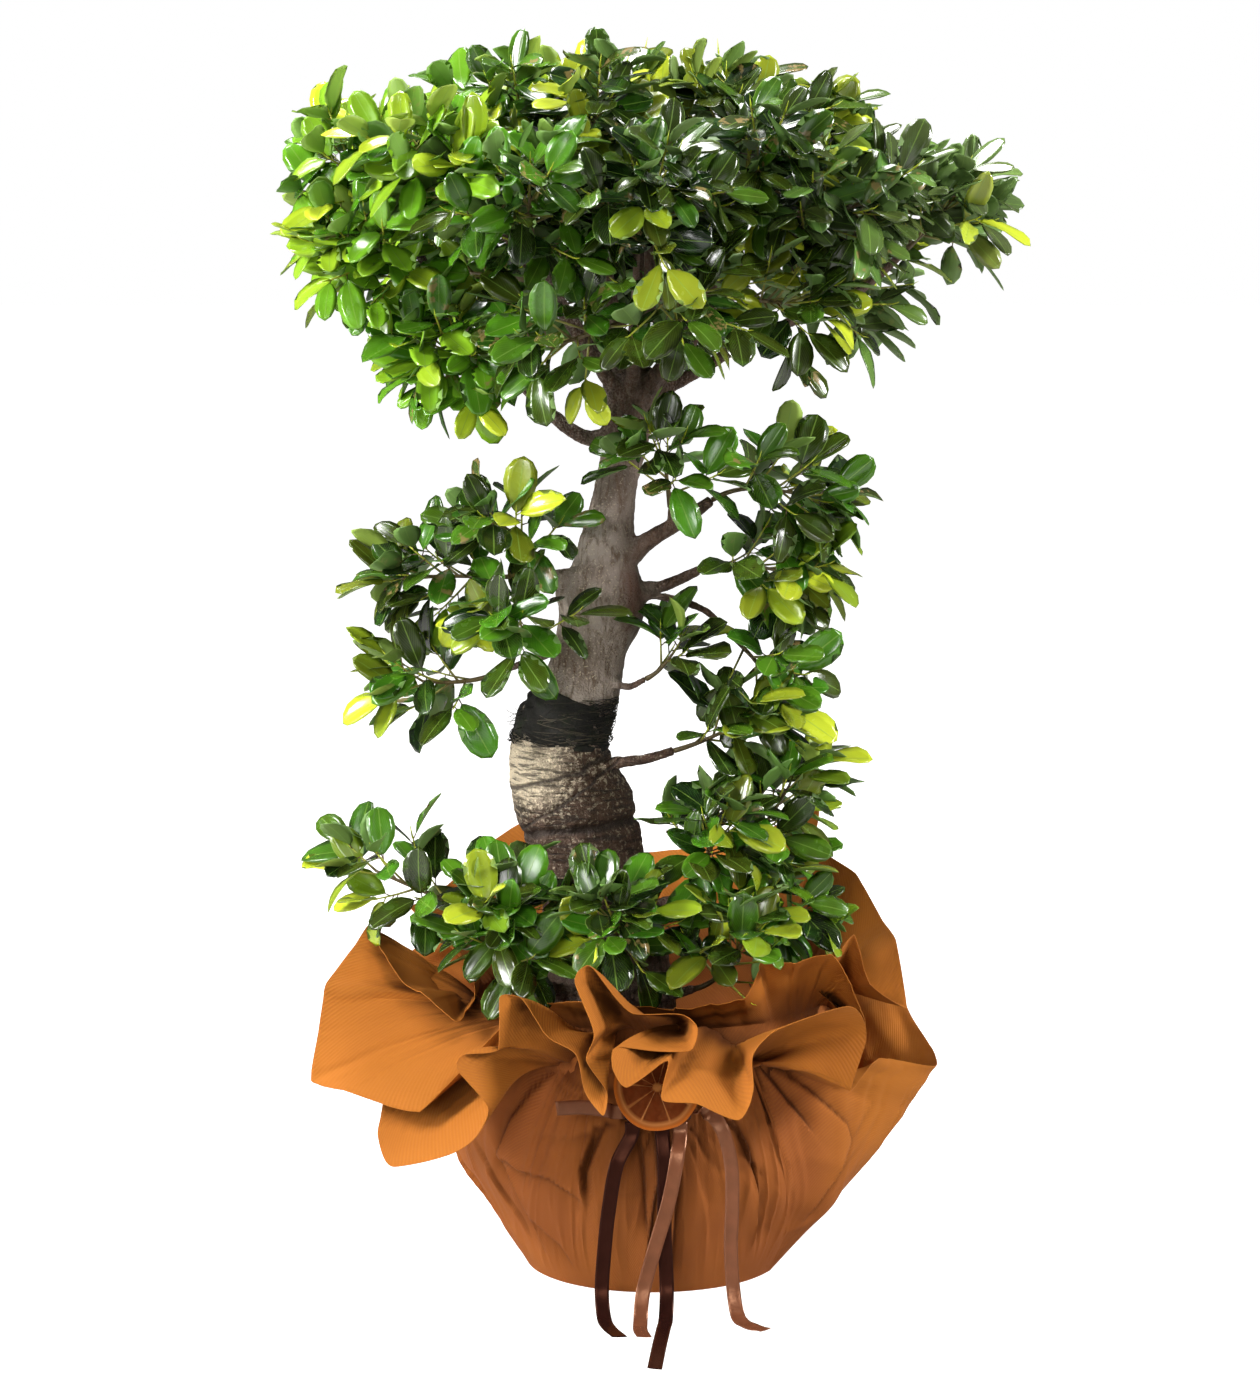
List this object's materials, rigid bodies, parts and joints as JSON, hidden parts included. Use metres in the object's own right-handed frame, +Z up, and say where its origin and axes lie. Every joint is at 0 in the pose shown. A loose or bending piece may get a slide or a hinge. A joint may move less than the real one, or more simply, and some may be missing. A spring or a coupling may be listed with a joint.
{
  "type": "ficus bonsai",
  "caption": "Potted ficus bonsai with an S-shaped thick-rooted trunk, leafy canopy and side sprays, in gathered wrapping sheets tied with ribbon.",
  "frame": {"origin": "centre of the wrapped underside, on the surface it stands on", "axes": "+Z up along the tree, -Y towards the front with the tied ribbons, +X to the right seen from the front"},
  "size_m": [0.6211, 0.5819, 1.0546],
  "materials": {
    "plastic": "moulded, satin",
    "soil": "loose, matt",
    "bark": "grey-tan bark, matt, ringed",
    "fibre": "matted fibre, matt",
    "leaf": "waxy, glossy",
    "wrap": "embossed non-woven, matt",
    "lining": "embossed non-woven, matt",
    "dark_satin": "satin weave",
    "tan_satin": "satin weave",
    "dried_orange": "dried, slightly glossy"
  },
  "bodies": {
    "root": {"pot": "plastic", "soil": "soil", "trunk": "bark", "graft_band": "fibre", "wrap_outer": "wrap", "wrap_inner": "lining", "ribbon_knot": "dark_satin", "ribbon_dark_left": "dark_satin", "ribbon_dark_middle": "dark_satin", "ribbon_tan_middle": "tan_satin", "ribbon_tan_right": "tan_satin", "ribbon_tan_stub": "tan_satin", "orange_slice": "dried_orange", "canopy_left_tip": "leaf", "canopy_left_low": "leaf", "canopy_left_hanging": "leaf", "canopy_left_front": "leaf", "canopy_left_back": "leaf", "canopy_left_back_low": "leaf", "canopy_top_left": "leaf", "canopy_top_front": "leaf", "canopy_top_middle": "leaf", "canopy_top_right": "leaf", "canopy_top_right_back": "leaf", "canopy_top_right_front": "leaf", "canopy_front": "leaf", "canopy_front_left": "leaf", "canopy_front_low": "leaf", "canopy_front_low_right": "leaf", "canopy_front_right": "leaf", "canopy_right_low": "leaf", "canopy_right_under": "leaf", "canopy_right_tip": "leaf", "canopy_right_back": "leaf", "canopy_back": "leaf", "canopy_back_left": "leaf", "canopy_back_low": "leaf", "canopy_back_low_left": "leaf", "right_upper": "leaf", "right_outer": "leaf", "right_middle": "leaf", "right_hanging": "leaf", "left_upper": "leaf", "left_outer": "leaf", "left_front": "leaf", "left_low": "leaf", "trunk_sprig": "leaf", "knee_upper": "leaf", "knee_outer": "leaf", "knee_front": "leaf", "knee_low": "leaf", "root_front": "leaf", "root_front_left": "leaf", "root_left_spur": "leaf", "root_low_right": "leaf", "root_low_left": "leaf"}
  },
  "joints": []
}
